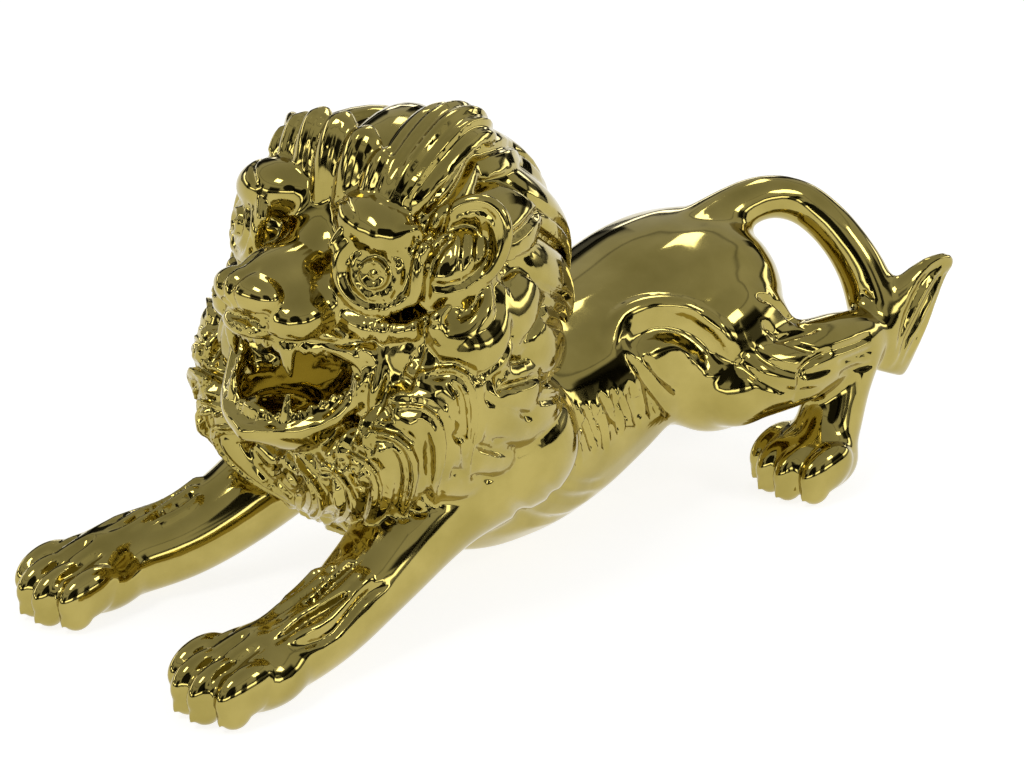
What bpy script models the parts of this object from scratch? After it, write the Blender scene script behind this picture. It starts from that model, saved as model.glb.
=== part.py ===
"""Cast figurine of a roaring lion, stretched out on its front legs: one solid, standing on four paws.

The lion faces -Y, its left side is +X and up is +Z. The origin is on the ground below the middle.
"""

import math

import bmesh
import bpy
import numpy as np
from mathutils import Euler, Matrix, Vector

# The whole figure is proportioned in parts, as a sculptor works: 216.4 parts from front claws to tail tip.
LENGTH = 0.200
PARTS_LONG = 216.4
PART = LENGTH / PARTS_LONG

# Sizes of the casting's surface, in parts.
MASS_VOXEL = 1.3
MASS_SMOOTHING = 9
DETAIL_VOXEL = 0.95
DETAIL_SMOOTHING = 2
GROUND = 2.1
TRIANGLES = 9400

# The head is turned a little toward the lion's left, about an upright line through the neck.
HEAD_TURN = 5.0
NECK = (0, -30, 0)

GOLD = (0.45, 0.365, 0.105, 1.0)
GOLD_ROUGHNESS = 0.12

UP = Vector((0, 0, 1))


def section_of(power):
    """A closed section as (across, out) points: 2 gives a circle, more gives fuller corners."""
    points = []
    for k in range(20):
        c, s = math.cos(math.tau * k / 20), math.sin(math.tau * k / 20)
        size = (abs(c) ** power + abs(s) ** power) ** (-1 / power)
        points.append((c * size, s * size))
    return points


ROUND = section_of(2)
BARREL = section_of(2.4)


def smooth_path(stations, steps=6):
    """Catmull-Rom points through the stations; a station is any tuple of numbers of one length."""
    knots = np.array([stations[0], *stations, stations[-1]], float)
    path = []
    for a, b, c, d in zip(knots, knots[1:], knots[2:], knots[3:]):
        for t in np.arange(steps) / steps:
            bend, twist = 2 * a - 5 * b + 4 * c - d, 3 * b - a - 3 * c + d
            path.append(0.5 * (2 * b + (c - a) * t + bend * t**2 + twist * t**3))
    path.append(knots[-2])
    return np.array(path)


def blob(form, place, radii, turn=(0, 0, 0)):
    """Adds an egg with three radii in parts, turned by degrees about X, Y and Z."""
    euler = Euler([math.radians(a) for a in turn])
    matrix = Matrix.LocRotScale(Vector(place) * PART, euler, Vector(radii))
    bmesh.ops.create_icosphere(form, subdivisions=4, radius=PART, matrix=matrix)


def pair(form, place, radii, turn=(0, 0, 0)):
    """Adds the same egg on the left and on the right."""
    for side in (1, -1):
        x, y, z = place
        blob(form, (side * x, y, z), radii, (turn[0], side * turn[1], side * turn[2]))


def loft(form, centres, sizes, outward, section=ROUND):
    """Adds a closed skin over rings of the section, each with its centre and its half width and height."""
    rings = []
    for i, (centre, (width, height)) in enumerate(zip(centres, sizes)):
        tangent = Vector(centres[min(i + 1, len(centres) - 1)]) - Vector(centres[max(i - 1, 0)])
        tangent.normalize()
        up = Vector(outward[i])
        up = (up - tangent * up.dot(tangent)).normalized()
        side = tangent.cross(up)
        middle = Vector(centre)
        points = [middle + side * u * width + up * v * height for u, v in section]
        rings.append([form.verts.new(point * PART) for point in points])
    for ring, after in zip(rings, rings[1:]):
        for k in range(len(section)):
            n = (k + 1) % len(section)
            form.faces.new((ring[k], ring[n], after[n], after[k]))
    form.faces.new(rings[0][::-1])
    form.faces.new(rings[-1])


def limb(form, stations, flat=1.0, outward=UP):
    """Adds a limb through stations of (x, y, z, radius), flattened along the outward direction."""
    path = smooth_path(stations)
    sizes = [(s[3], s[3] * flat) for s in path]
    loft(form, [Vector(s[:3]) for s in path], sizes, [outward] * len(path))
    for x, y, z, radius in (stations[0], stations[-1]):
        blob(form, (x, y, z), (radius * 0.97,) * 3)


def mirrored(stations, side):
    """The stations as they are for side 1, and on the other side of the middle for side -1."""
    return [(side * s[0], *s[1:]) for s in stations]


def head_turned(form, start=0):
    """Turns everything that was added to the form since it had this many vertices with the head."""
    turn = Matrix.Rotation(math.radians(HEAD_TURN), 3, "Z")
    bmesh.ops.rotate(form, cent=Vector(NECK) * PART, matrix=turn, verts=list(form.verts)[start:])


def add_torso(form):
    """The barrel of the body: deep at the chest, narrow at the waist and arched over the rump."""
    # place along the body, height of the middle, half width, half height
    stations = [(-36, 36, 19, 17), (-22, 29.5, 25.5, 23.5), (-8, 28.4, 27, 24), (4, 29.3, 25.6, 23.2),
                (16, 32.3, 23.8, 21.6), (28, 36.3, 22.6, 19.8), (40, 38.8, 23.2, 20.8), (50, 39.6, 22.8, 21),
                (60, 40, 20.5, 19), (67, 40.5, 14.5, 14), (71.5, 41, 7, 7)]
    path = smooth_path(stations)
    loft(form, [(0, y, z) for y, z, w, h in path], [(w, h) for y, z, w, h in path], [UP] * len(path), BARREL)
    blob(form, (0, -34, 48), (23, 22, 28), (-35, 0, 0))
    pair(form, (20, -26, 33), (11, 17, 17), (-20, 0, 0))


def add_front_leg(form, side):
    """A front leg from the shoulder to its paw; the right elbow is held a little closer in."""
    closer = 0 if side > 0 else 3
    stations = [(22, -20, 36, 16), (22 - closer, -38, 28, 12), (23.5 - closer, -55, 18, 9.6),
                (25.9 - closer, -69, 12.2, 8.6), (27.6 - closer / 2, -81, 10, 8.3), (27.4, -89, 9.6, 8)]
    limb(form, mirrored(stations, side))
    blob(form, (side * 27.4, -89.5, 8.6), (11, 12.5, 8))


def add_back_leg(form, side):
    """A crouching back leg: the thigh, the shank back to the hock and the foot under it."""
    blob(form, (side * 17, 46, 34.6), (11.5, 19, 17.6), (10, 0, 0))
    blob(form, (side * 24.5, 45, 30.4), (8.5, 11, 9.3), (20, 0, 0))
    shank = [(24, 46, 31, 9), (26, 60, 31.2, 8.4), (25.5, 72, 31.8, 7), (25, 81, 31, 6)]
    foot = [(25, 81, 31, 6), (26, 73.8, 22.5, 7), (27.3, 68.8, 13, 7.5), (28, 64.5, 9.5, 7.8)]
    limb(form, mirrored(shank, side), 1.1)
    limb(form, mirrored(foot, side))
    blob(form, (side * 28.5, 63, 8.4), (10, 11.5, 7.8))


def add_toes(form, x, y, side):
    """Four toes side by side at the front of a paw, the middle two furthest forward."""
    for place, forward in ((-7.8, 3), (-2.7, 0), (2.7, 0), (7.8, 3)):
        blob(form, (side * (x + place), y + forward, 9.2), (3.3, 7.8, 5.4), (14, 0, 0))
        blob(form, (side * (x + place), y + forward - 3.2, 5.9), (2.9, 3.8, 3.9))


def add_tail(form):
    """A thick tail that arches up off the rump and comes down onto the left hock, where its tuft turns up."""
    limb(form, [(0, 50, 52.5, 8), (0, 62, 57.4, 5.9), (2, 71.3, 60, 5.1), (5, 79.2, 58.3, 5),
                (10, 83.2, 54.3, 5), (15.2, 86, 48.2, 5.2), (19.2, 87.9, 41, 5.7), (23, 88, 32, 6),
                (25, 88, 26, 5)])
    leaf = smooth_path([(24.5, 88, 21, 8), (25, 91.5, 28, 8.4), (25, 96, 35, 8.2), (25, 101.5, 39.4, 6.2),
                        (25, 106.6, 41.6, 3.8), (25, 110.6, 41.8, 1.4)])
    loft(form, [p[:3] for p in leaf], [(p[3], p[3] * 0.45) for p in leaf], [Vector((1, 0, 0))] * len(leaf))


def add_head(form):
    """Skull, brows, muzzle and lower jaw, before the mouth is cut."""
    start = len(form.verts)
    blob(form, (0, -32, 76), (27, 23, 23))
    pair(form, (14.6, -49.5, 88.8), (10, 7.5, 6.2), (0, 10, 0))
    blob(form, (0, -50, 80), (9, 8, 7))
    blob(form, (0, -58.5, 77.5), (8, 15, 6.5))
    blob(form, (0, -62.8, 73), (13, 10.5, 7))
    pair(form, (7, -64.4, 71.8), (7.6, 8.2, 5.8), (0, 0, 20))
    pair(form, (20, -45, 64), (9, 10.5, 8.5))
    pair(form, (8.6, -55, 73), (6.6, 8.5, 6.4))
    pair(form, (14.5, -52, 67), (6, 7.5, 5.5))
    blob(form, (0, -61.5, 47.8), (15, 12.5, 7), (-4, 0, 0))
    pair(form, (19, -48, 54), (8.5, 12, 13), (12, 0, 0))
    head_turned(form, start)
    pair(form, (28.5, -34, 84.8), (7.4, 4.4, 9), (0, 26, 40))


def mane_shell(angle, share):
    """A point on the mane's outside: angle goes round from the crown, share from the face to the hem."""
    s, c = math.sin(angle), math.cos(angle)
    up, down = max(c, 0), max(-c, 0)
    face = np.array((26.5 * s, -42 - 4 * up - 20 * down**0.7, 66 + 25 * c))
    hem = np.array((29 * s, -17 + 24 * up**1.6 - 28 * down, 42 + 23 * c))
    from_face = np.array((13 * s, -5 + 3 * up + down * (1 - 14 * abs(s)), 1 + 7 * up - 8 * down))
    to_hem = np.array((7 * s, -5 - 5 * up - 3 * down, 9 + 37 * up - 3 * down))
    fuller_below = 1 - 0.13 * c
    a, b = 1 - share, share
    place = a**3 * face + 3 * a * a * b * (face + from_face) + 3 * a * b * b * (hem + to_hem) + b**3 * hem
    return place * np.array((fuller_below, 1, 1))


MANE_MIDDLE = np.array((0, -26, 58))

# How far out the mass behind the locks comes, as a share of the mane's outside.
BEHIND_LOCKS = 0.92

# Rows of locks from the neck forward, each row over the one behind. Angles run in degrees from the crown
# to both sides; start and end are shares of the way from the face to the hem. Taper 1 gives a pointed lock
# whose tip stands off the one behind, and a small taper a smooth lobe that lies flat.
MANE_ROWS = (
    # first and last angle, number a side, start, end, half width, height, sway, taper
    (0, 92, 5, 0.60, 1.02, 9.5, 4.6, 0.10, 0.45),
    (12, 92, 4, 0.36, 0.78, 10.0, 4.4, 0.12, 0.45),
    (0, 78, 4, 0.12, 0.56, 9.5, 5.8, 0.12, 0.45),
    (98, 122, 3, 0.10, 1.06, 6.4, 4.6, 0.05, 0.45),
    (126, 177, 5, 0.36, 1.12, 5.2, 5.4, 0.22, 1.0),
    (106, 168, 6, 0.03, 0.74, 4.8, 5.6, -0.22, 1.0),
)

# The upright locks over the forehead: angles in degrees round the face and half widths.
FRINGE_LOCKS = ((0, 5), (15, 5), (29, 4.6), (42, 4))

# The broad lock that is swept up and back beside the fringe, as stations of (x, y, z, half width). The one
# on the right lies lower and further out.
SWEPT_LOCK = ((17, -48, 88, 3), (18, -44, 95, 6.5), (17, -37, 100.6, 7.8), (14.5, -28, 103.6, 8),
              (12.5, -20.5, 102, 7), (11, -16, 98, 3))
RIGHT_SWEPT_OUT = 2
RIGHT_SWEPT_DOWN = 10

SWEPT_FLATNESS = 0.55

# An outline across a lock, as (across, out) points: a lens with its back flattened.
LOCK_FRONT = [(1 - k / 8, 1 - abs(1 - k / 8) ** 2.2) for k in range(17)]
LOCK_SECTION = LOCK_FRONT + [(-0.6, -0.6), (0, -0.8), (0.6, -0.6)]


def add_lock(form, angle, start, end, width, height, sway, taper):
    """One lock of the mane: it lies on the shell from start to end, swells and runs out."""
    steps = 12
    centres, sizes, outward = [], [], []
    for k in range(steps + 1):
        t = k / steps
        place = mane_shell(angle + sway * math.sin(math.pi * t * 1.4), start + (end - start) * t)
        out = place - MANE_MIDDLE
        out /= np.linalg.norm(out)
        centres.append(Vector(place + out * (height * taper * (1.2 * t - 0.6))))
        swell = math.sin(math.pi * min(0.96, 0.22 + 0.74 * t) ** 1.1) ** taper
        sizes.append((width * swell, height * swell))
        outward.append(out)
    loft(form, centres, sizes, outward, LOCK_SECTION)


def fringe_path(angle, width):
    """Centres, half sizes and outward directions of an upright lock of the fringe."""
    s, c = math.sin(angle), math.cos(angle)
    centres, sizes, outward = [], [], []
    for k in range(12):
        t = k / 11
        forward, upward = -47 + 3 * (1 - c) + 5 * t**2, 64 + 25 * c + (11 + 6.5 * c) * t
        centres.append(Vector(((26 + 2 * t) * s, forward, upward)))
        full = math.sqrt(1 - 0.97 * t**8)
        sizes.append((width * full, 4 * full))
        outward.append(Vector((0.6 * s, -1, 0.2)))
    return centres, sizes, outward


def add_fringe(form):
    """A row of upright scalloped locks over the forehead, and the broad lock on each side of it."""
    for angle, width in FRINGE_LOCKS:
        for side in (1, -1) if angle else (1,):
            loft(form, *fringe_path(side * math.radians(angle), width), LOCK_SECTION)
    right_lock = [(-x - RIGHT_SWEPT_OUT, y, z - RIGHT_SWEPT_DOWN, width) for x, y, z, width in SWEPT_LOCK]
    for stations in (SWEPT_LOCK, right_lock):
        path = smooth_path(stations)
        outward = [Vector(p[:3]) - Vector(MANE_MIDDLE) for p in path]
        sizes = [(p[3], p[3] * SWEPT_FLATNESS) for p in path]
        loft(form, [p[:3] for p in path], sizes, outward, LOCK_SECTION)


def add_mane(form):
    """All the rows of locks, on both sides."""
    for first, last, number, start, end, width, height, sway, taper in MANE_ROWS:
        for k in range(number):
            angle = math.radians(first + (last - first) * k / (number - 1))
            for side in (1, -1) if angle else (1,):
                add_lock(form, side * angle, start, end, width, height, side * sway, taper)


def add_mane_mass(form):
    """Fills the shell behind the locks so that the mane is one mass with the neck."""
    around = 28
    verts = []
    for share in np.linspace(0, 1, 9):
        shell = [mane_shell(math.tau * k / around, share) - MANE_MIDDLE for k in range(around)]
        verts.append([form.verts.new((MANE_MIDDLE + out * BEHIND_LOCKS) * PART) for out in shell])
    for ring, after in zip(verts, verts[1:]):
        for k in range(around):
            n = (k + 1) % around
            form.faces.new((ring[k], ring[n], after[n], after[k]))
    form.faces.new(verts[0][::-1])
    form.faces.new(verts[-1])


def hoop(form, centre, facing, radii, thickness, lean=0.0, span=(0, 360)):
    """Adds an oval rod about the centre, in the plane that faces the given way, over this span of degrees."""
    facing = Vector(facing).normalized()
    right = facing.cross(UP).normalized()
    up = right.cross(facing)
    points = []
    for degrees in np.linspace(*span, 25):
        a = math.radians(degrees)
        u, v = radii[0] * math.cos(a), radii[1] * math.sin(a)
        u, v = u * math.cos(lean) - v * math.sin(lean), u * math.sin(lean) + v * math.cos(lean)
        points.append((*(Vector(centre) + right * u + up * v), thickness))
    limb(form, points, outward=facing)


# The middle of the left eye and the way that it looks.
EYE = (17, -50.4, 80.2)
GAZE = (0.5, -0.84, 0.2)
EYE_RADIUS = 7.6


def add_face(form):
    """Eyes with their lids and brow folds, nose, lips, teeth, tongue, ears and the curl under each ear."""
    start = len(form.verts)
    pair(form, EYE, (EYE_RADIUS,) * 3)
    blob(form, (0, -70.8, 76.6), (9, 4.8, 4.6))
    for side in (1, -1):
        gaze = Vector((side * GAZE[0], *GAZE[1:]))
        eye = Vector((side * EYE[0], *EYE[1:]))
        hoop(form, eye + gaze * 4, gaze, (8.2, 7.4), 1.5)
        hoop(form, eye + gaze * 3.4, gaze, (9.8, 10.2), 1.6, span=(25, 155))
        limb(form, mirrored([(0, -73.2, 69.6, 1.8), (4, -72, 69.7, 1.8), (9.4, -66.4, 69, 2),
                             (13.8, -61, 66.4, 2.1), (17.4, -56.6, 60.4, 2.1), (15.8, -61, 52.4, 2),
                             (9.4, -68.4, 48.2, 2),
                             (0, -72.6, 46.6, 2)], side))
        limb(form, mirrored([(7.9, -67.8, 68, 2.2), (8.2, -68, 63, 1.4), (8.2, -67.4, 59.6, 0.5)], side))
        limb(form, mirrored([(7.8, -68, 49, 2), (8, -68.4, 53, 1.2), (8, -68, 56, 0.5)], side))
        limb(form, mirrored([(11, -57.5, 72.5, 1.8), (18, -57, 70, 2.2), (25, -51.5, 69.8, 2),
                             (29, -45, 73, 1.6)], side))
        limb(form, mirrored([(15, -57.5, 69, 1.4), (19.5, -55.5, 63.5, 2), (21.5, -53, 57, 2)], side))
        limb(form, mirrored([(29, -45.5, 66, 1.8), (25, -50.5, 63.5, 2), (21, -54, 61, 1.6)], side))
    blob(form, (0, -61.5, 49.4), (6.8, 10, 2.8), (-10, 0, 0))
    head_turned(form, start)
    for side in (1, -1):
        hoop(form, (side * 29.8, -36, 85.6), (side * 0.62, -0.76, 0.2), (6.8, 9.2), 1.5, side * 0.5)
        limb(form, mirrored([(33.5, -34, 77, 0.8), (35.5, -37, 73, 2.2), (35, -41, 69.5, 2.8),
                             (33, -45, 69.5, 2.6), (32.5, -46.5, 73, 1.9), (33.5, -44, 75.5, 0.8)], side))


def made(form, name):
    """An object from the form, in a collection of the same name."""
    bmesh.ops.recalc_face_normals(form, faces=form.faces)
    mesh = bpy.data.meshes.new(name)
    form.to_mesh(mesh)
    form.free()
    piece = bpy.data.objects.new(name, mesh)
    group = bpy.data.collections.get(name) or bpy.data.collections.new(name)
    if name not in bpy.context.scene.collection.children:
        bpy.context.scene.collection.children.link(group)
    group.objects.link(piece)
    return piece


def applied(piece):
    """Turns the piece's modifiers into its mesh, and returns the mesh as a form."""
    bpy.context.view_layer.update()
    evaluated = piece.evaluated_get(bpy.context.evaluated_depsgraph_get())
    form = bmesh.new()
    form.from_mesh(evaluated.to_mesh())
    evaluated.to_mesh_clear()
    bpy.data.objects.remove(piece)
    return form


def fused(form, voxel, smoothing, cutter=None):
    """One closed skin over everything in the form, softened, and then cut."""
    piece = made(form, "lion")
    remesh = piece.modifiers.new("fuse", "REMESH")
    remesh.mode = "VOXEL"
    remesh.voxel_size = voxel * PART
    soften = piece.modifiers.new("soften", "SMOOTH")
    soften.iterations = round(smoothing)
    if cutter:
        cut = piece.modifiers.new("cut", "BOOLEAN")
        cut.operation = "DIFFERENCE"
        cut.object = cutter
    return applied(piece)


def flat_soled(form):
    """Cuts the skin flat where the soles stand and lowers it to Z = 0."""
    everything = form.verts[:] + form.edges[:] + form.faces[:]
    level = UP * GROUND * PART
    cut = bmesh.ops.bisect_plane(form, geom=everything, plane_co=level, plane_no=-UP, clear_outer=True)
    rims = [e for e in cut["geom_cut"] if isinstance(e, bmesh.types.BMEdge)]
    bmesh.ops.holes_fill(form, edges=rims)
    bmesh.ops.triangulate(form, faces=form.faces)
    bmesh.ops.translate(form, verts=form.verts, vec=-UP * GROUND * PART)


def thinned(form, triangles):
    """The form with about this many triangles, its soles exactly flat."""
    piece = made(form, "lion")
    thin = piece.modifiers.new("thin", "DECIMATE")
    thin.ratio = triangles / len(piece.data.polygons)
    form = applied(piece)
    for vert in form.verts:
        if vert.co.z < 0.3 * PART:
            vert.co.z = 0
    return form


def centred(form):
    """Puts the middle of the figure's length and width over the origin."""
    low = Vector([min(v.co[i] for v in form.verts) for i in range(3)])
    high = Vector([max(v.co[i] for v in form.verts) for i in range(3)])
    middle = (low + high) / 2
    bmesh.ops.translate(form, verts=form.verts, vec=(-middle.x, -middle.y, 0))


def mouth_and_ears():
    """The hollows of the mouth and of the two ears."""
    form = bmesh.new()
    blob(form, (0, -64.8, 58.4), (16.2, 18.5, 11), (3, 0, 0))
    head_turned(form)
    pair(form, (31.5, -38, 85.8), (5.4, 5.2, 7.2), (0, 26, 40))
    hollows = made(form, "cutters")
    hollows.hide_render = True
    hollows.display_type = "WIRE"
    return hollows


def gold():
    material = bpy.data.materials.new("polished gold")
    material.use_nodes = True
    shader = material.node_tree.nodes["Principled BSDF"]
    shader.inputs["Base Color"].default_value = GOLD
    shader.inputs["Metallic"].default_value = 1.0
    shader.inputs["Roughness"].default_value = GOLD_ROUGHNESS
    return material


def build():
    for old in list(bpy.data.objects):
        bpy.data.objects.remove(old)
    form = bmesh.new()
    add_torso(form)
    add_head(form)
    add_tail(form)
    add_mane_mass(form)
    for side in (1, -1):
        add_front_leg(form, side)
        add_back_leg(form, side)
    form = fused(form, MASS_VOXEL, MASS_SMOOTHING, mouth_and_ears())
    for side in (1, -1):
        add_toes(form, 27, -99.5, side)
        add_toes(form, 28.5, 57, side)
    add_mane(form)
    add_fringe(form)
    add_face(form)
    form = fused(form, DETAIL_VOXEL, DETAIL_SMOOTHING)
    flat_soled(form)
    form = thinned(form, TRIANGLES)
    centred(form)
    lion = made(form, "lion")
    lion.data.materials.append(gold())


build()
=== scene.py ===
"""Looks of the lion figurine: its finely carved surface, its polished gold and the studio it stands in.

The lion faces -Y, its left side is +X and up is +Z, as in the frame. Its forms are the frame's own, laid out
in the same parts of its length, and then carved more finely.
"""

import math

import bmesh
import bpy
import numpy as np
from mathutils import Euler, Matrix, Vector
from mathutils.bvhtree import BVHTree


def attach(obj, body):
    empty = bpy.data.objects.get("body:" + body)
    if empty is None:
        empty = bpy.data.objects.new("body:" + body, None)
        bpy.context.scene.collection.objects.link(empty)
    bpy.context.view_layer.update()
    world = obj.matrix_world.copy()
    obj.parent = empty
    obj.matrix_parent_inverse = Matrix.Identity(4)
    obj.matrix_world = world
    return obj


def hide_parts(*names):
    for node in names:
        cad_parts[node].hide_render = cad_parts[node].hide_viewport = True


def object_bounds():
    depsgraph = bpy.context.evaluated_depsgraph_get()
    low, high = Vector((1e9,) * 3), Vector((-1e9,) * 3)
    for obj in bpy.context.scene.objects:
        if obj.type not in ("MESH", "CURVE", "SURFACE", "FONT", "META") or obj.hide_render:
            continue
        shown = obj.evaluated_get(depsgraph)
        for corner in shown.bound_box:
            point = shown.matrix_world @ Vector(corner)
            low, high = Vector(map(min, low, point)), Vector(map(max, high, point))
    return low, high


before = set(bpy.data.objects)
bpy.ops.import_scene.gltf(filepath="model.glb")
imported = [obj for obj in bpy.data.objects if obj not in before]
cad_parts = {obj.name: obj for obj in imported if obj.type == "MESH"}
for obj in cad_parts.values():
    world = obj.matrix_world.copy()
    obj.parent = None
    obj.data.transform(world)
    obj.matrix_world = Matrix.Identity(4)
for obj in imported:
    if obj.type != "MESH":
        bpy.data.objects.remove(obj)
solid_box = [list(corner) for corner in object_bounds()]

# The figure is laid out in parts, as a sculptor works: 216.4 parts from front claws to tail tip.
PARTS_LONG = 216.4
PART = (solid_box[1][1] - solid_box[0][1]) / PARTS_LONG
GROUND = 2.1

# Sizes of the casting's surface, in parts.
MASS_VOXEL = 1.0
MASS_SMOOTHING = 15
DETAIL_VOXEL = 0.46
DETAIL_SMOOTHING = 2
BODY_SMOOTHING = 14
CARVING_SMOOTHING = 3
TRIANGLES = 190000

# The camera that took the photo: its direction round the figure, its distance in parts and its lens.
PHOTO_AZIMUTH = 49.65
PHOTO_ELEVATION = 24.2
PHOTO_DISTANCE = 800
PHOTO_TARGET = (0.1, -0.65, 31.3)
PHOTO_FOCAL_WIDTHS = 3748 / 1024
SENSOR_WIDTH = 36

UP = Vector((0, 0, 1))

# The head is turned a little toward the lion's left, about an upright line through the neck.
HEAD_TURN = 5.0
NECK = (0, -30, 0)

# Each toe's place across its paw and how far it stays behind the middle ones.
TOE_PLACES = ((-7.8, 3), (-2.7, 0), (2.7, 0), (7.8, 3))

# The middle of the toes of the left front paw and of the left hind paw, as (x, y).
FRONT_TOES = (27, -99.5)
HIND_TOES = (28.5, 57)


def section_of(power):
    """A closed section as (across, out) points: 2 gives a circle, more gives fuller corners."""
    points = []
    for k in range(20):
        c, s = math.cos(math.tau * k / 20), math.sin(math.tau * k / 20)
        size = (abs(c) ** power + abs(s) ** power) ** (-1 / power)
        points.append((c * size, s * size))
    return points


ROUND = section_of(2)
BARREL = section_of(2.4)


def smooth_path(stations, steps=6):
    """Catmull-Rom points through the stations; a station is any tuple of numbers of one length."""
    knots = np.array([stations[0], *stations, stations[-1]], float)
    path = []
    for a, b, c, d in zip(knots, knots[1:], knots[2:], knots[3:]):
        for t in np.arange(steps) / steps:
            bend, twist = 2 * a - 5 * b + 4 * c - d, 3 * b - a - 3 * c + d
            path.append(0.5 * (2 * b + (c - a) * t + bend * t**2 + twist * t**3))
    path.append(knots[-2])
    return np.array(path)


def blob(form, place, radii, turn=(0, 0, 0)):
    """Adds an egg with three radii in parts, turned by degrees about X, Y and Z."""
    euler = Euler([math.radians(a) for a in turn])
    matrix = Matrix.LocRotScale(Vector(place) * PART, euler, Vector(radii))
    bmesh.ops.create_icosphere(form, subdivisions=4, radius=PART, matrix=matrix)


def pair(form, place, radii, turn=(0, 0, 0)):
    """Adds the same egg on the left and on the right."""
    for side in (1, -1):
        x, y, z = place
        blob(form, (side * x, y, z), radii, (turn[0], side * turn[1], side * turn[2]))


def ring_frame(centres, outward, i):
    """The directions across and out of a skin at its ring number i."""
    tangent = Vector(centres[min(i + 1, len(centres) - 1)]) - Vector(centres[max(i - 1, 0)])
    tangent.normalize()
    up = Vector(outward[i])
    up = (up - tangent * up.dot(tangent)).normalized()
    return tangent.cross(up), up


def loft(form, centres, sizes, outward, section=ROUND):
    """Adds a closed skin over rings of the section, each with its centre and its half width and height."""
    rings = []
    for i, (centre, (width, height)) in enumerate(zip(centres, sizes)):
        side, up = ring_frame(centres, outward, i)
        middle = Vector(centre)
        points = [middle + side * u * width + up * v * height for u, v in section]
        rings.append([form.verts.new(point * PART) for point in points])
    for ring, after in zip(rings, rings[1:]):
        for k in range(len(section)):
            n = (k + 1) % len(section)
            form.faces.new((ring[k], ring[n], after[n], after[k]))
    form.faces.new(rings[0][::-1])
    form.faces.new(rings[-1])


def limb(form, stations, flat=1.0, outward=UP):
    """Adds a limb through stations of (x, y, z, radius), flattened along the outward direction."""
    path = smooth_path(stations)
    sizes = [(s[3], s[3] * flat) for s in path]
    loft(form, [Vector(s[:3]) for s in path], sizes, [outward] * len(path))
    for x, y, z, radius in (stations[0], stations[-1]):
        blob(form, (x, y, z), (radius * 0.97,) * 3)


def mirrored(stations, side):
    """The stations as they are for side 1, and on the other side of the middle for side -1."""
    return [(side * s[0], *s[1:]) for s in stations]


def head_turned(form, start=0):
    """Turns everything that was added to the form since it had this many vertices with the head."""
    turn = Matrix.Rotation(math.radians(HEAD_TURN), 3, "Z")
    bmesh.ops.rotate(form, cent=Vector(NECK) * PART, matrix=turn, verts=list(form.verts)[start:])


def add_torso(form):
    """The barrel of the body: deep at the chest, narrow at the waist and arched over the rump."""
    # place along the body, height of the middle, half width, half height
    stations = [(-36, 36, 19, 17), (-22, 29.5, 25.5, 23.5), (-8, 28.4, 27, 24), (4, 29.3, 25.6, 23.2),
                (16, 32.3, 23.8, 21.6), (28, 36.3, 22.6, 19.8), (40, 38.8, 23.2, 20.8), (50, 39.6, 22.8, 21),
                (60, 40, 20.5, 19), (67, 40.5, 14.5, 14), (71.5, 41, 7, 7)]
    path = smooth_path(stations)
    loft(form, [(0, y, z) for y, z, w, h in path], [(w, h) for y, z, w, h in path], [UP] * len(path), BARREL)
    blob(form, (0, -34, 48), (23, 22, 28), (-35, 0, 0))
    pair(form, (20, -26, 33), (11, 17, 17), (-20, 0, 0))


def add_front_leg(form, side):
    """A front leg from the shoulder to its paw; the right elbow is held a little closer in."""
    closer = 0 if side > 0 else 3
    stations = [(22, -20, 36, 16), (22 - closer, -38, 28, 12), (23.5 - closer, -55, 18, 9.6),
                (25.9 - closer, -69, 12.2, 8.6), (27.6 - closer / 2, -81, 10, 8.3), (27.4, -89, 9.6, 8)]
    limb(form, mirrored(stations, side))
    blob(form, (side * 27.4, -89.5, 8.6), (11, 12.5, 8))


def add_back_leg(form, side):
    """A crouching back leg: the thigh, the shank back to the hock and the foot under it."""
    blob(form, (side * 17, 46, 34.6), (11.5, 19, 17.6), (10, 0, 0))
    blob(form, (side * 24.5, 45, 30.4), (8.5, 11, 9.3), (20, 0, 0))
    shank = [(24, 46, 31, 9), (26, 60, 31.2, 8.4), (25.5, 72, 31.8, 7), (25, 81, 31, 6)]
    foot = [(25, 81, 31, 6), (26, 73.8, 22.5, 7), (27.3, 68.8, 13, 7.5), (28, 64.5, 9.5, 7.8)]
    limb(form, mirrored(shank, side), 1.1)
    limb(form, mirrored(foot, side))
    blob(form, (side * 28.5, 63, 8.4), (10, 11.5, 7.8))


def add_toes(form, x, y, side):
    """Four toes side by side at the front of a paw, the middle two furthest forward, each with its claw."""
    for place, forward in TOE_PLACES:
        blob(form, (side * (x + place), y + forward, 9.2), (3.3, 7.8, 5.4), (14, 0, 0))
        blob(form, (side * (x + place), y + forward - 3.2, 5.9), (2.9, 3.8, 3.9))
        limb(form, mirrored([(x + place, y + forward - 4, 6.6, 1.3), (x + place, y + forward - 6, 5.6, 1.1),
                             (x + place, y + forward - 7, 4, 0.5)], side))


def add_tail(form):
    """A thick tail that arches up off the rump and comes down onto the left hock, where its tuft turns up."""
    limb(form, [(0, 50, 52.5, 8), (0, 62, 57.4, 5.9), (2, 71.3, 60, 5.1), (5, 79.2, 58.3, 5),
                (10, 83.2, 54.3, 5), (15.2, 86, 48.2, 5.2), (19.2, 87.9, 41, 5.7), (23, 88, 32, 6),
                (25, 88, 26, 5)])
    leaf = smooth_path([(24.5, 88, 21, 8), (25, 91.5, 28, 8.4), (25, 96, 35, 8.2), (25, 101.5, 39.4, 6.2),
                        (25, 106.6, 41.6, 3.8), (25, 110.6, 41.8, 1.4)])
    loft(form, [p[:3] for p in leaf], [(p[3], p[3] * 0.45) for p in leaf], [Vector((1, 0, 0))] * len(leaf))


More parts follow.
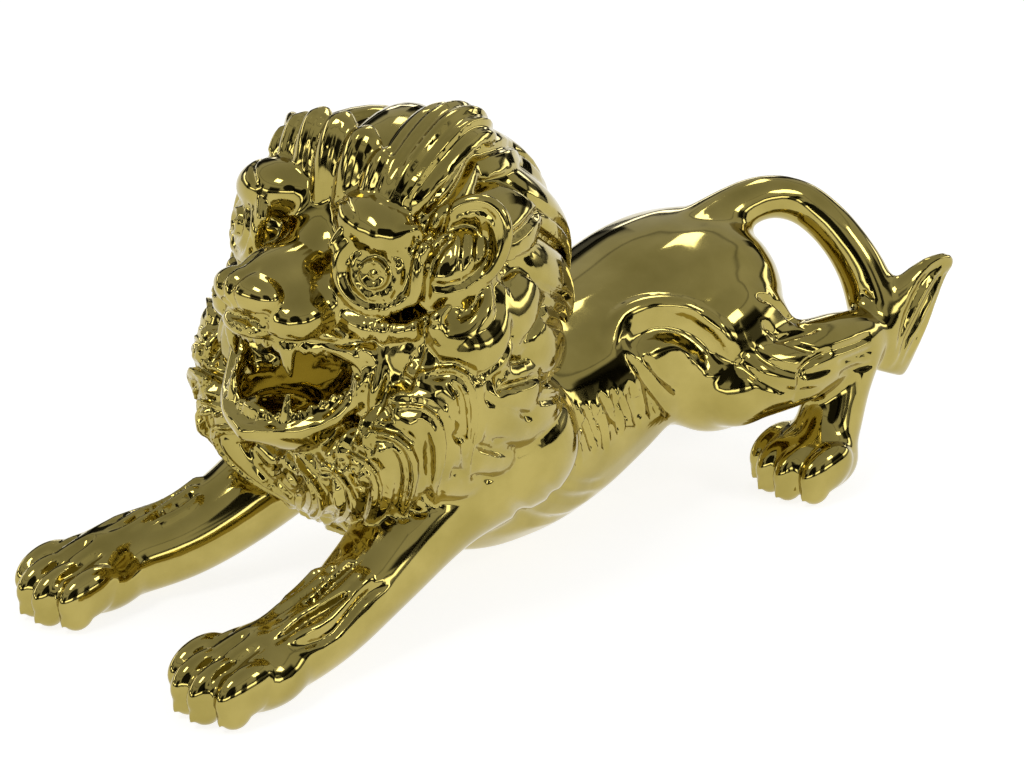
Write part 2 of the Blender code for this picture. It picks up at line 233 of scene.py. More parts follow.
def add_head(form):
    """Skull, brows, muzzle and lower jaw, before the mouth is cut."""
    start = len(form.verts)
    blob(form, (0, -32, 76), (27, 23, 23))
    pair(form, (14.6, -49.5, 88.8), (10, 7.5, 6.2), (0, 10, 0))
    blob(form, (0, -50, 80), (9, 8, 7))
    blob(form, (0, -58.5, 77.5), (8, 15, 6.5))
    blob(form, (0, -62.8, 73), (13, 10.5, 7))
    pair(form, (7, -64.4, 71.8), (7.6, 8.2, 5.8), (0, 0, 20))
    pair(form, (20, -45, 64), (9, 10.5, 8.5))
    pair(form, (8.6, -55, 73), (6.6, 8.5, 6.4))
    pair(form, (14.5, -52, 67), (6, 7.5, 5.5))
    blob(form, (0, -61.5, 47.8), (15, 12.5, 7), (-4, 0, 0))
    pair(form, (19, -48, 54), (8.5, 12, 13), (12, 0, 0))
    head_turned(form, start)
    pair(form, (28.5, -34, 84.8), (7.4, 4.4, 9), (0, 26, 40))


def mane_shell(angle, share):
    """A point on the mane's outside: angle goes round from the crown, share from the face to the hem."""
    s, c = math.sin(angle), math.cos(angle)
    up, down = max(c, 0), max(-c, 0)
    face = np.array((26.5 * s, -42 - 4 * up - 20 * down**0.7, 66 + 25 * c))
    hem = np.array((29 * s, -17 + 24 * up**1.6 - 28 * down, 42 + 23 * c))
    from_face = np.array((13 * s, -5 + 3 * up + down * (1 - 14 * abs(s)), 1 + 7 * up - 8 * down))
    to_hem = np.array((7 * s, -5 - 5 * up - 3 * down, 9 + 37 * up - 3 * down))
    fuller_below = 1 - 0.13 * c
    a, b = 1 - share, share
    place = a**3 * face + 3 * a * a * b * (face + from_face) + 3 * a * b * b * (hem + to_hem) + b**3 * hem
    return place * np.array((fuller_below, 1, 1))


MANE_MIDDLE = np.array((0, -26, 58))

# How far out the mass behind the locks comes, as a share of the mane's outside.
BEHIND_LOCKS = 0.92

# Rows of locks from the neck forward, each row over the one behind. Angles run in degrees from the crown
# to both sides; start and end are shares of the way from the face to the hem. Taper 1 gives a pointed lock
# whose tip stands off the one behind, and a small taper a smooth lobe that lies flat.
MANE_ROWS = (
    # first and last angle, number a side, start, end, half width, height, sway, taper
    (0, 92, 5, 0.60, 1.02, 9.5, 4.6, 0.10, 0.45),
    (12, 92, 4, 0.36, 0.78, 10.0, 4.4, 0.12, 0.45),
    (0, 78, 4, 0.12, 0.56, 9.5, 5.8, 0.12, 0.45),
    (98, 122, 3, 0.10, 1.06, 6.4, 4.6, 0.05, 0.45),
    (126, 177, 5, 0.36, 1.12, 5.2, 5.4, 0.22, 1.0),
    (106, 168, 6, 0.03, 0.74, 4.8, 5.6, -0.22, 1.0),
)

# The upright locks over the forehead: angles in degrees round the face and half widths.
FRINGE_LOCKS = ((0, 5), (15, 5), (29, 4.6), (42, 4))

# The broad lock that is swept up and back beside the fringe, as stations of (x, y, z, half width). The one
# on the right lies lower and further out.
SWEPT_LOCK = ((17, -48, 88, 3), (18, -44, 95, 6.5), (17, -37, 100.6, 7.8), (14.5, -28, 103.6, 8),
              (12.5, -20.5, 102, 7), (11, -16, 98, 3))
SWEPT_FLATNESS = 0.55
RIGHT_SWEPT_OUT = 2
RIGHT_SWEPT_DOWN = 10

# An outline across a lock, as (across, out) points: a lens with its back flattened.
LOCK_FULLNESS = 2.2
LOCK_FRONT = [(1 - k / 8, 1 - abs(1 - k / 8) ** LOCK_FULLNESS) for k in range(17)]
LOCK_SECTION = LOCK_FRONT + [(-0.6, -0.6), (0, -0.8), (0.6, -0.6)]


def lock_rings(angle, start, end, width, height, sway, taper):
    """Centres, half sizes and outward directions of one lock that lies on the shell from start to end."""
    steps = 12
    centres, sizes, outward = [], [], []
    for k in range(steps + 1):
        t = k / steps
        place = mane_shell(angle + sway * math.sin(math.pi * t * 1.4), start + (end - start) * t)
        out = place - MANE_MIDDLE
        out /= np.linalg.norm(out)
        centres.append(Vector(place + out * (height * taper * (1.2 * t - 0.6))))
        swell = math.sin(math.pi * min(0.96, 0.22 + 0.74 * t) ** 1.1) ** taper
        sizes.append((width * swell, height * swell))
        outward.append(out)
    return centres, sizes, outward


def mane_locks():
    """Every lock of the mane as its rings and its taper, from the neck forward."""
    for first, last, number, start, end, width, height, sway, taper in MANE_ROWS:
        for k in range(number):
            angle = math.radians(first + (last - first) * k / (number - 1))
            for side in (1, -1) if angle else (1,):
                yield lock_rings(side * angle, start, end, width, height, side * sway, taper), taper


def add_mane(form):
    """All the rows of locks, on both sides."""
    for rings, taper in mane_locks():
        loft(form, *rings, LOCK_SECTION)


def fringe_rings(angle, width):
    """Centres, half sizes and outward directions of an upright lock of the fringe."""
    s, c = math.sin(angle), math.cos(angle)
    centres, sizes, outward = [], [], []
    for k in range(12):
        t = k / 11
        forward, upward = -47 + 3 * (1 - c) + 5 * t**2, 64 + 25 * c + (11 + 6.5 * c) * t
        centres.append(Vector(((26 + 2 * t) * s, forward, upward)))
        full = math.sqrt(1 - 0.97 * t**8)
        sizes.append((width * full, 4 * full))
        outward.append(Vector((0.6 * s, -1, 0.2)))
    return centres, sizes, outward


def swept_rings(side):
    """Centres, half sizes and outward directions of the broad swept lock on one side."""
    out, down = (0, 0) if side > 0 else (RIGHT_SWEPT_OUT, RIGHT_SWEPT_DOWN)
    path = smooth_path([(side * (x + out), y, z - down, width) for x, y, z, width in SWEPT_LOCK])
    centres = [Vector(p[:3]) for p in path]
    sizes = [(p[3], p[3] * SWEPT_FLATNESS) for p in path]
    return centres, sizes, [centre - Vector(MANE_MIDDLE) for centre in centres]


def add_fringe(form):
    """A row of upright scalloped locks over the forehead, and the broad lock on each side of it."""
    for angle, width in FRINGE_LOCKS:
        for side in (1, -1) if angle else (1,):
            loft(form, *fringe_rings(side * math.radians(angle), width), LOCK_SECTION)
    for side in (1, -1):
        loft(form, *swept_rings(side), LOCK_SECTION)


def add_mane_mass(form):
    """Fills the shell behind the locks so that the mane is one mass with the neck."""
    around = 28
    verts = []
    for share in np.linspace(0, 1, 9):
        shell = [mane_shell(math.tau * k / around, share) - MANE_MIDDLE for k in range(around)]
        verts.append([form.verts.new((MANE_MIDDLE + out * BEHIND_LOCKS) * PART) for out in shell])
    for ring, after in zip(verts, verts[1:]):
        for k in range(around):
            n = (k + 1) % around
            form.faces.new((ring[k], ring[n], after[n], after[k]))
    form.faces.new(verts[0][::-1])
    form.faces.new(verts[-1])


def hoop(form, centre, facing, radii, thickness, lean=0.0, span=(0, 360)):
    """Adds an oval rod about the centre, in the plane that faces the given way, over this span of degrees."""
    facing = Vector(facing).normalized()
    right = facing.cross(UP).normalized()
    up = right.cross(facing)
    points = []
    for degrees in np.linspace(*span, 25):
        a = math.radians(degrees)
        u, v = radii[0] * math.cos(a), radii[1] * math.sin(a)
        u, v = u * math.cos(lean) - v * math.sin(lean), u * math.sin(lean) + v * math.cos(lean)
        points.append((*(Vector(centre) + right * u + up * v), thickness))
    limb(form, points, outward=facing)


# The middle of the left eye and the way that it looks.
EYE = (17, -50.4, 80.2)
GAZE = (0.5, -0.84, 0.2)
EYE_RADIUS = 7.6

# Rolls of the face on the left, as stations of (x, y, z, radius).
FACE_FOLDS = (
    # half of the lips, round the open mouth
    ((0, -73.2, 69.6, 1.8), (4, -72, 69.7, 1.8), (9.4, -66.4, 69, 2), (13.8, -61, 66.4, 2.1),
     (17.4, -56.6, 60.4, 2.1), (15.8, -61, 52.4, 2), (9.4, -68.4, 48.2, 2), (0, -72.6, 46.6, 2)),
    # the upper and the lower fang
    ((7.9, -67.8, 68, 2.2), (8.2, -68, 63, 1.4), (8.2, -67.4, 59.6, 0.5)),
    ((7.8, -68, 49, 2), (8, -68.4, 53, 1.2), (8, -68, 56, 0.5)),
    # three folds of the cheek
    ((11, -57.5, 72.5, 1.8), (18, -57, 70, 2.2), (25, -51.5, 69.8, 2), (29, -45, 73, 1.6)),
    ((15, -57.5, 69, 1.4), (19.5, -55.5, 63.5, 2), (21.5, -53, 57, 2)),
    ((29, -45.5, 66, 1.8), (25, -50.5, 63.5, 2), (21, -54, 61, 1.6)),
)


def add_face(form):
    """Eyes with their lids and brow folds, nose, lips, teeth, tongue, ears and the curl under each ear."""
    start = len(form.verts)
    pair(form, EYE, (EYE_RADIUS,) * 3)
    blob(form, (0, -70.8, 76.6), (9, 4.8, 4.6))
    for side in (1, -1):
        gaze = Vector((side * GAZE[0], *GAZE[1:]))
        eye = Vector((side * EYE[0], *EYE[1:]))
        hoop(form, eye + gaze * 4, gaze, (8.2, 7.4), 1.5)
        hoop(form, eye + gaze * 3.4, gaze, (9.8, 10.2), 1.6, span=(25, 155))
        for stations in FACE_FOLDS:
            limb(form, mirrored(stations, side))
    blob(form, (0, -61.5, 49.4), (6.8, 10, 2.8), (-10, 0, 0))
    head_turned(form, start)
    for side in (1, -1):
        hoop(form, (side * 29.8, -36, 85.6), (side * 0.62, -0.76, 0.2), (6.8, 9.2), 1.5, side * 0.5)
        limb(form, mirrored([(33.5, -34, 77, 0.8), (35.5, -37, 73, 2.2), (35, -41, 69.5, 2.8),
                             (33, -45, 69.5, 2.6), (32.5, -46.5, 73, 1.9), (33.5, -44, 75.5, 0.8)], side))


def add_teeth(form):
    """The small teeth between the fangs, above and below."""
    start = len(form.verts)
    for k in range(7):
        across = (k - 3) * 2
        back = 0.045 * across**2
        blob(form, (across, -70.6 + back, 67.4 - 0.02 * across**2), (1, 0.9, 2.3))
        blob(form, (across, -70.6 + back, 49.8), (0.95, 0.9, 2.1))
    for k in range(5):
        for side in (1, -1):
            upper = (side * (10.8 + 1.1 * k), -65.6 + 1.9 * k, 66.2 - 0.9 * k)
            lower = (side * (10.4 + 1.2 * k), -66.8 + 1.9 * k, 51.2 + 0.9 * k)
            blob(form, upper, (1, 1.1, 2.1), (0, side * 14, 0))
            blob(form, lower, (1, 1.1, 2))
    head_turned(form, start)


def made(form, name):
    """An object from the form."""
    bmesh.ops.recalc_face_normals(form, faces=form.faces)
    mesh = bpy.data.meshes.new(name)
    form.to_mesh(mesh)
    form.free()
    piece = bpy.data.objects.new(name, mesh)
    bpy.context.scene.collection.objects.link(piece)
    return piece


def applied(piece):
    """Turns the piece's modifiers into its mesh, and returns the mesh as a form."""
    bpy.context.view_layer.update()
    evaluated = piece.evaluated_get(bpy.context.evaluated_depsgraph_get())
    form = bmesh.new()
    form.from_mesh(evaluated.to_mesh())
    evaluated.to_mesh_clear()
    bpy.data.objects.remove(piece)
    return form


def fused(form, voxel, smoothing, cutter=None):
    """One closed skin over everything in the form, softened, and then cut."""
    piece = made(form, "lion")
    remesh = piece.modifiers.new("fuse", "REMESH")
    remesh.mode = "VOXEL"
    remesh.voxel_size = voxel * PART
    soften = piece.modifiers.new("soften", "SMOOTH")
    soften.iterations = smoothing
    if cutter:
        cut = piece.modifiers.new("cut", "BOOLEAN")
        cut.operation = "DIFFERENCE"
        cut.object = cutter
    return applied(piece)


def plainness(x, y, z):
    """How plain each place of the body is, from 0 on the mane, paws and tuft to 1 on the smooth skin."""
    from_mane = np.sqrt((y + 28) ** 2 + (z - 62) ** 2 + (x / 1.2) ** 2)
    off_mane = np.clip((from_mane - 44) / 10, 0, 1)
    off_front_paws = np.clip((y + 84) / 8, 0, 1)
    hind_paws = np.clip((66 - y) / 8, 0, 1) * np.clip((18 - z) / 6, 0, 1) * (y > 30)
    tuft = np.clip((y - 88) / 4, 0, 1)
    return off_mane * off_front_paws * (1 - hind_paws) * (1 - tuft)


def body_softened(form):
    """Smooths the plain parts of the body more than the head, mane, paws and tuft."""
    piece = made(form, "lion")
    plain = piece.vertex_groups.new(name="plain")
    mesh = piece.data
    places = np.empty(3 * len(mesh.vertices))
    mesh.vertices.foreach_get("co", places)
    levels = np.round(plainness(*(places.reshape(-1, 3) / PART).T) * 10).astype(int)
    for level in range(1, 11):
        plain.add(np.nonzero(levels == level)[0].tolist(), level / 10, "REPLACE")
    soften = piece.modifiers.new("soften", "SMOOTH")
    soften.iterations = BODY_SMOOTHING
    soften.vertex_group = "plain"
    return applied(piece)


def softened(form, rounds):
    """The form with its skin smoothed this many times."""
    piece = made(form, "lion")
    soften = piece.modifiers.new("soften", "SMOOTH")
    soften.iterations = rounds
    return applied(piece)


def flat_soled(form):
    """Cuts the skin flat where the soles stand and lowers it to Z = 0."""
    everything = form.verts[:] + form.edges[:] + form.faces[:]
    level = UP * GROUND * PART
    cut = bmesh.ops.bisect_plane(form, geom=everything, plane_co=level, plane_no=-UP, clear_outer=True)
    rims = [e for e in cut["geom_cut"] if isinstance(e, bmesh.types.BMEdge)]
    bmesh.ops.holes_fill(form, edges=rims)
    bmesh.ops.triangulate(form, faces=form.faces)
    bmesh.ops.translate(form, verts=form.verts, vec=-level)


def mouth_and_ears():
    """The hollows of the mouth and of the two ears."""
    form = bmesh.new()
    blob(form, (0, -64.8, 58.4), (16.2, 18.5, 11), (3, 0, 0))
    head_turned(form)
    pair(form, (31.5, -38, 85.8), (5.4, 5.2, 7.2), (0, 26, 40))
    return made(form, "hollows")


# How far from the skin a line of a lock may lie and still be carved, in parts.
SKIN_REACH = 1.2

# How far outside the figure a stroke starts before it is laid on the skin, in parts.
FAR_OFF = 200


def lock_line(rings, across):
    """A line along the outside of a lock, at this share of its half width."""
    centres, sizes, outward = rings
    line = []
    for i, (width, height) in enumerate(sizes):
        side, up = ring_frame(centres, outward, i)
        line.append(centres[i] + side * across * width + up * height * (1 - abs(across) ** LOCK_FULLNESS))
    return line


def on_skin(tree, points):
    """The points that lie close to the skin; where a lock is buried, its line isn't carved."""
    return [p for p in points if tree.find_nearest(p, SKIN_REACH)[0]]


def strand_strokes(tree):
    """Grooves that part every lock of the mane into strands."""
    for number, (rings, taper) in enumerate(mane_locks()):
        for k, across in enumerate((-0.7, 0.62) if taper < 0.5 else (-0.5, 0.0, 0.5)):
            uneven = 0.08 * math.sin(5.1 * number + 3.7 * k)
            yield on_skin(tree, lock_line(rings, across + uneven)), 1.3, -1.2 - 4 * uneven
    for angle, width in FRINGE_LOCKS:
        for side in (1, -1):
            yield on_skin(tree, lock_line(fringe_rings(side * math.radians(angle), width), 0.35)), 1.2, -0.5
    for side in (1, -1):
        for across in (-0.62, -0.2, 0.3, 0.66):
            yield on_skin(tree, lock_line(swept_rings(side), across)), 1.5, -0.9


def laid(tree, points, way):
    """The points moved along the way until they meet the skin; a point that misses it is left out."""
    line = []
    for point in points:
        hit = tree.ray_cast(Vector(point) - Vector(way) * FAR_OFF, Vector(way))[0]
        if hit:
            line.append(hit)
    return line


# Sinews along the top of a front leg: place across the leg, front end and back end along the body.
SINEWS = ((-5.5, -80, -60), (-2.6, -86, -53), (0.2, -84, -50), (3, -88, -56), (5.6, -85, -60),
          (1.6, -50, -36), (4.6, -52, -38))


def leg_strokes(tree, side):
    """Wavy sinews along the top of a front leg, and the grooves between the toes of both paws."""
    down = (0, 0, -1)
    for across, start, end in SINEWS:
        points = []
        for y in np.linspace(start, end, 8):
            toward_middle = 0.11 * max(0, y + 81)
            wave = 0.5 * math.sin(0.3 * y + across)
            points.append((side * (27.4 + across - toward_middle + wave), y, 0))
        yield laid(tree, points, down), 1.8, 1.1
        beside = [(x + side * 1.6, y, z) for x, y, z in points]
        yield laid(tree, beside, down), 1.1, -1.0
    for x, front, back in ((FRONT_TOES[0], -108, -90), (HIND_TOES[0], 50, 64)):
        for gap in (-5.25, 0, 5.25):
            points = []
            for k in range(8):
                points.append((side * (x + gap * (1 - 0.02 * k)), front + (back - front) * k / 7, 0))
            yield laid(tree, points, down), 1.3, -1.3


# Folds of the body seen from its side: points of (y, z), half width and depth. A depth above 0 makes a
# ridge and one below 0 a groove, here and in every other stroke.
BODY_FOLDS = (
    # the roll over the front of the thigh, the hollow under it and two creases before the thigh
    (((12, 47), (18, 50.5), (26, 51.5), (33, 50), (38, 45.5), (40, 39)), 2.6, 1.3),
    (((16, 45), (24, 47.4), (31, 45.5), (34.8, 41), (36, 36)), 4.0, -2.6),
    (((15, 45), (18, 39), (22, 33), (27, 27)), 1.5, -1.2),
    (((19, 43.5), (23, 37.5), (29, 32)), 1.2, -0.9),
    # creases behind the thigh
    (((40, 38), (44, 33.5), (52, 29), (60, 27.5)), 1.5, -0.9),
    (((44, 40), (48, 36), (56, 32.5), (64, 32)), 1.5, -0.9),
    (((49, 44), (53, 39.5), (60, 36)), 1.3, -0.8),
    (((55, 48), (58, 43), (62, 39)), 1.2, -0.7),
    # wrinkles over the hock
    (((64, 35.5), (71, 34.6), (78, 34.2)), 1.1, -0.7),
    (((65, 32.4), (72, 31.6), (79, 31)), 1.1, -0.6),
    (((66, 29.2), (73, 28.4), (79, 27.5)), 1.1, -0.6),
    # creases of the belly
    (((-30, 30), (-22, 22), (-12, 15), (0, 11)), 2.2, -0.9),
    (((-24, 33), (-14, 24), (-4, 18), (8, 14)), 1.8, -0.6),
    (((-12, 27), (-4, 22), (6, 18)), 1.5, -0.5),
)

FLANK_HAIRS = 17


def body_strokes(tree, side):
    """Uneven fur down the flank, and the folds of the thigh, hock and belly."""
    inward = (-side, 0, 0)
    for k in range(FLANK_HAIRS):
        y = -9 + 1.75 * k + 0.3 * math.sin(2.2 * k)
        top = 37.5 + 1.8 * math.sin(2.6 * k)
        lean = 2.4 + 1.1 * math.sin(1.7 * k)
        length = 8 + 2.2 * math.sin(3.9 * k)
        points = [(0, y + lean * t, top - length * t) for t in np.linspace(0, 1, 7)]
        yield laid(tree, points, inward), 1.0, -0.85
        beside = [(0, y + 0.85, z + 0.5) for x, y, z in points]
        yield laid(tree, beside, inward), 0.85, 0.4
    for points, width, depth in BODY_FOLDS:
        path = smooth_path([(0, y, z) for y, z in points], 4)
        yield laid(tree, path, inward), width, depth


def tail_strokes(tree):
    """Strands on both faces of the tuft and short fur under the tail."""
    for way in ((1, 0, 0), (-1, 0, 0)):
        for bend in (-3.6, 0, 3.6):
            points = [(0, 88 + 20.5 * t + 0.6 * bend * math.sin(math.pi * t),
                       23 + 18.5 * math.sin(0.5 * math.pi * t) - bend * math.sin(math.pi * (0.25 + 0.7 * t)))
                      for t in np.linspace(0, 1, 8)]
            yield laid(tree, points, way), 1.7, -1.0
    for k in range(7):
        y, z = 72 + 1.5 * k, 56.5 - 2.2 * k
        yield laid(tree, [(0, y, z), (0, y + 2.2, z - 2.6), (0, y + 3.4, z - 4.6)], (-1, 0, 0)), 0.9, -0.6


def ring_stroke(centre, facing, radius, ball):
    """A ring on a ball round the direction that it faces."""
    facing = Vector(facing).normalized()
    right = facing.cross(UP).normalized()
    up = right.cross(facing)
    lift = math.sqrt(max(ball**2 - radius**2, 0))
    points = []
    for k in range(13):
        a = math.tau * k / 12
        points.append(Vector(centre) + facing * lift + (right * math.cos(a) + up * math.sin(a)) * radius)
    return points


def turned_points(points):
    """Points of the face moved with the turn of the head."""
    turn = Matrix.Rotation(math.radians(HEAD_TURN), 3, "Z")
    neck = Vector(NECK)
    return [turn @ (Vector(p) - neck) + neck for p in points]


# Rings cut into each eye: radius, half width and depth.
EYE_RINGS = ((3.9, 1.1, -1.1), (1.3, 1.4, -1.2))

# Grooves of the face seen from in front, on the left: points of (x, z), half width and depth.
FACE_GROOVES = (
    # brow, side of the nose, under the eye and over the lip
    (((8, 91), (14, 93.5), (20, 92)), 1.0, -0.6),
    (((3.5, 83), (2.6, 79), (4.2, 75)), 1.3, -0.8),
    (((8, 74), (6.5, 78), (7.5, 82)), 1.2, -0.7),
    (((7, 72.4), (11, 73.5), (14, 73)), 0.9, -0.6),
    (((12, 68.8), (18, 67.2), (26, 67)), 1.4, -1.4),
    (((4, 71.2), (8, 71.8), (12.5, 70)), 0.9, -0.6),
    # cheek
    (((17, 64), (20, 61), (21, 56), (19.5, 51)), 1.3, -0.8),
    (((21, 63), (24.5, 59), (25.5, 54)), 1.1, -0.7),
    # nostril and chin
    (((2.4, 74.8), (4, 74), (5.4, 75)), 1.5, -2.0),
    (((5, 43.5), (8, 42.5), (12, 44.5)), 1.1, -0.7),
)


def face_strokes(tree):
    """Rings of the eyes, grooves of the face and nose, whisker pits and the hair in the ears."""
    back = (0, 1, 0)
    for side in (1, -1):
        eye = (side * EYE[0], *EYE[1:])
        gaze = (side * GAZE[0], *GAZE[1:])
        for radius, width, depth in EYE_RINGS:
            yield turned_points(ring_stroke(eye, gaze, radius, EYE_RADIUS)), width, depth
        for points, width, depth in FACE_GROOVES:
            path = smooth_path(mirrored(points, side), 4)
            yield laid(tree, turned_points([(x, 0, z) for x, z in path]), back), width, depth
        for row in range(3):
            for k in range(4):
                x, z = side * (5.4 + 2.4 * k), 74 - 1.8 * row - 0.25 * k
                spot = turned_points([(x, 0, z), (x + 0.3 * side, 0, z)])
                yield laid(tree, spot, back), 0.7, -0.75
    yield laid(tree, turned_points([(0, 0, 74.5), (0, 0, 72), (0, 0, 70)]), back), 0.9, -0.9
    for side in (1, -1):
        into_ear = Vector((-side * 0.62, 0.76, 0))
        for across in (-2.6, 0, 2.6):
            x, y = side * (31.5 + 0.62 * across), -38 + 0.6 * across
            points = [(x, y, 92), (x + side * 0.5, y, 87), (x + side * 0.8, y, 82)]
            yield laid(tree, points, into_ear), 1.3, 0.9


# How fast a stroke reaches its full depth from each end, for each whole length of the stroke.
END_FADE = 4.5


def carved(form, strokes):
    """Raises or sinks the skin along each stroke, fading toward the stroke's sides and ends."""
    places = np.array([v.co[:] for v in form.verts]) / PART
    normals = np.array([v.normal[:] for v in form.verts])
    shift = np.zeros(len(places))
    for line, width, depth in strokes:
        line = np.array([p[:] for p in line])
        if len(line) < 2:
            continue
        near = np.nonzero(((places > line.min(0) - width) & (places < line.max(0) + width)).all(1))[0]
        if not len(near):
            continue
        spots = places[near]
        closest = np.full(len(near), np.inf)
        along = np.zeros(len(near))
        for k, (a, b) in enumerate(zip(line, line[1:])):
            step = b - a
            t = np.clip((spots - a) @ step / max(step @ step, 1e-9), 0, 1)
            gap = np.linalg.norm(spots - a - t[:, None] * step, axis=1)
            nearer = gap < closest
            closest[nearer] = gap[nearer]
            along[nearer] = (k + t[nearer]) / (len(line) - 1)
        looped = np.linalg.norm(line[0] - line[-1]) < width
        fade = 1 if looped else np.clip(END_FADE * np.minimum(along + 0.03, 1.03 - along), 0, 1)
        change = depth * np.clip(1 - (closest / width) ** 2, 0, 1) ** 1.5 * fade
        stronger = np.abs(change) > np.abs(shift[near])
        shift[near[stronger]] = change[stronger]
    for vert, normal, amount in zip(form.verts, normals, shift):
        if amount:
            vert.co += Vector(normal) * float(amount) * PART
    form.normal_update()


def all_strokes(form):
    """Every stroke of the carving, laid on the form's skin."""
    scaled = [v.co / PART for v in form.verts]
    tree = BVHTree.FromPolygons(scaled, [[v.index for v in f.verts] for f in form.faces])
    yield from strand_strokes(tree)
    for side in (1, -1):
        yield from leg_strokes(tree, side)
        yield from body_strokes(tree, side)
    yield from tail_strokes(tree)
    yield from face_strokes(tree)


def carved_lion():
    """The whole figure in one fine mesh, as dense as its carving needs."""
    form = bmesh.new()
    add_torso(form)
    add_head(form)
    add_tail(form)
    add_mane_mass(form)
    for side in (1, -1):
        add_front_leg(form, side)
        add_back_leg(form, side)
    hollows = mouth_and_ears()
    form = fused(form, MASS_VOXEL, MASS_SMOOTHING, hollows)
    bpy.data.objects.remove(hollows)
    for side in (1, -1):
        add_toes(form, *FRONT_TOES, side)
        add_toes(form, *HIND_TOES, side)
    add_mane(form)
    add_fringe(form)
    add_face(form)
    add_teeth(form)
    form = fused(form, DETAIL_VOXEL, DETAIL_SMOOTHING)
    form = body_softened(form)
    carved(form, all_strokes(form))
    form = softened(form, CARVING_SMOOTHING)
    flat_soled(form)
    return form


def fitted(form):
    """Centres the figure in the frame's box and brings it within that box."""
    low = Vector([min(v.co[i] for v in form.verts) for i in range(3)])
    high = Vector([max(v.co[i] for v in form.verts) for i in range(3)])
    box_low, box_high = (Vector(corner) for corner in solid_box)
    room = [(box_high[i] - box_low[i]) / (high[i] - low[i]) for i in range(3)]
    middle = (low + high) / 2
    bmesh.ops.translate(form, verts=form.verts, vec=(-middle.x, -middle.y, 0))
    bmesh.ops.scale(form, verts=form.verts, vec=(min(1, *room),) * 3)
    return form


def lion():
    """The finished lion: the fine carving thinned within the box, with the carving's own shading kept."""
    fine = made(fitted(carved_lion()), "fine")
    fine.data.shade_smooth()
    piece = bpy.data.objects.new("lion_casting", fine.data.copy())
    bpy.context.scene.collection.objects.link(piece)
    thin = piece.modifiers.new("thin", "DECIMATE")
    thin.ratio = TRIANGLES / len(piece.data.polygons)
    shade = piece.modifiers.new("shade", "DATA_TRANSFER")
    shade.object = fine
    shade.use_loop_data = True
    shade.data_types_loops = {"CUSTOM_NORMAL"}
    shade.loop_mapping = "POLYINTERP_NEAREST"
    bpy.context.view_layer.update()
    evaluated = piece.evaluated_get(bpy.context.evaluated_depsgraph_get())
    mesh = bpy.data.meshes.new_from_object(evaluated)
    places = np.array([v.co for v in mesh.vertices])
    within_box = np.clip(places, *solid_box)
    mesh.vertices.foreach_set("co", within_box.ravel())
    piece.modifiers.clear()
    piece.data = mesh
    bpy.data.objects.remove(fine)
    return piece


# The gold's colour and roughness, each from the duller patches to the brighter ones.
GOLD_TONES = ((0.37, 0.3, 0.08, 1), (0.46, 0.375, 0.112, 1))
TONE_RANGE = (0.35, 0.65)
PATCHES_PER_METRE = 90
GOLD_ROUGHNESS = (0.05, 0.11)


def gold():
    """Mirror-like gold plating, a little duller and browner where dust and handling reach."""
    material = bpy.data.materials.new("polished gold")
    material.use_nodes = True
    nodes, links = material.node_tree.nodes, material.node_tree.links
    shader = nodes["Principled BSDF"]
    shader.inputs["Metallic"].default_value = 1.0
    place = nodes.new("ShaderNodeTexCoord")
    patches = nodes.new("ShaderNodeTexNoise")
    patches.inputs["Scale"].default_value = PATCHES_PER_METRE
    patches.inputs["Detail"].default_value = 4
    links.new(place.outputs["Object"], patches.inputs["Vector"])
    tone = nodes.new("ShaderNodeValToRGB")
    for stop, position, colour in zip(tone.color_ramp.elements, TONE_RANGE, GOLD_TONES):
        stop.position = position
        stop.color = colour
    links.new(patches.outputs["Fac"], tone.inputs["Fac"])
    links.new(tone.outputs["Color"], shader.inputs["Base Color"])
    gloss = nodes.new("ShaderNodeMapRange")
    gloss.inputs["To Min"].default_value, gloss.inputs["To Max"].default_value = GOLD_ROUGHNESS
    links.new(patches.outputs["Fac"], gloss.inputs["Value"])
    links.new(gloss.outputs["Result"], shader.inputs["Roughness"])
    return material


def grey(value):
    """A neutral colour of this brightness."""
    return (value, value, value, 1)


# The floor's width and how far it lies below the soles, in metres, its grey and its own glow.
FLOOR_WIDTH = 12
FLOOR_BELOW = 0.0002
FLOOR_GREY = 0.4
FLOOR_GLOW = 0.82


def floor():
    """A plain pale floor that is bright under the studio lights."""
    bpy.ops.mesh.primitive_plane_add(size=FLOOR_WIDTH, location=(0, 0, -FLOOR_BELOW))
    plane = bpy.context.object
    plane.name = "floor"
    material = bpy.data.materials.new("pale floor")
    material.use_nodes = True
    shader = material.node_tree.nodes["Principled BSDF"]
    shader.inputs["Base Color"].default_value = grey(FLOOR_GREY)
    shader.inputs["Roughness"].default_value = 0.9
    shader.inputs["Emission Color"].default_value = grey(1)
    shader.inputs["Emission Strength"].default_value = FLOOR_GLOW
    plane.data.materials.append(material)


def direction(azimuth, elevation):
    """Unit vector from the figure toward a place round it; azimuth 0 is in front and 90 at its left."""
    a, e = math.radians(azimuth), math.radians(elevation)
    return Vector((math.sin(a) * math.cos(e), -math.cos(a) * math.cos(e), math.sin(e)))


def soft_box(name, azimuth, elevation, distance, size, brightness):
    """A square light of this brightness that faces the figure."""
    light = bpy.data.lights.new(name, "AREA")
    light.size = size
    light.energy = brightness * math.pi * size**2
    lamp = bpy.data.objects.new(name, light)
    lamp.location = direction(azimuth, elevation) * distance
    lamp.rotation_euler = direction(azimuth, elevation).to_track_quat("Z", "Y").to_euler()
    bpy.context.scene.collection.objects.link(lamp)


# Soft boxes: name, azimuth, elevation, distance and size in metres, and brightness.
SOFT_BOXES = (
    ("key", 5, 58, 1.5, 0.36, 8.5),
    ("side", 120, 35, 1.5, 0.3, 6.5),
    ("back", 215, 50, 1.8, 0.4, 5.0),
)

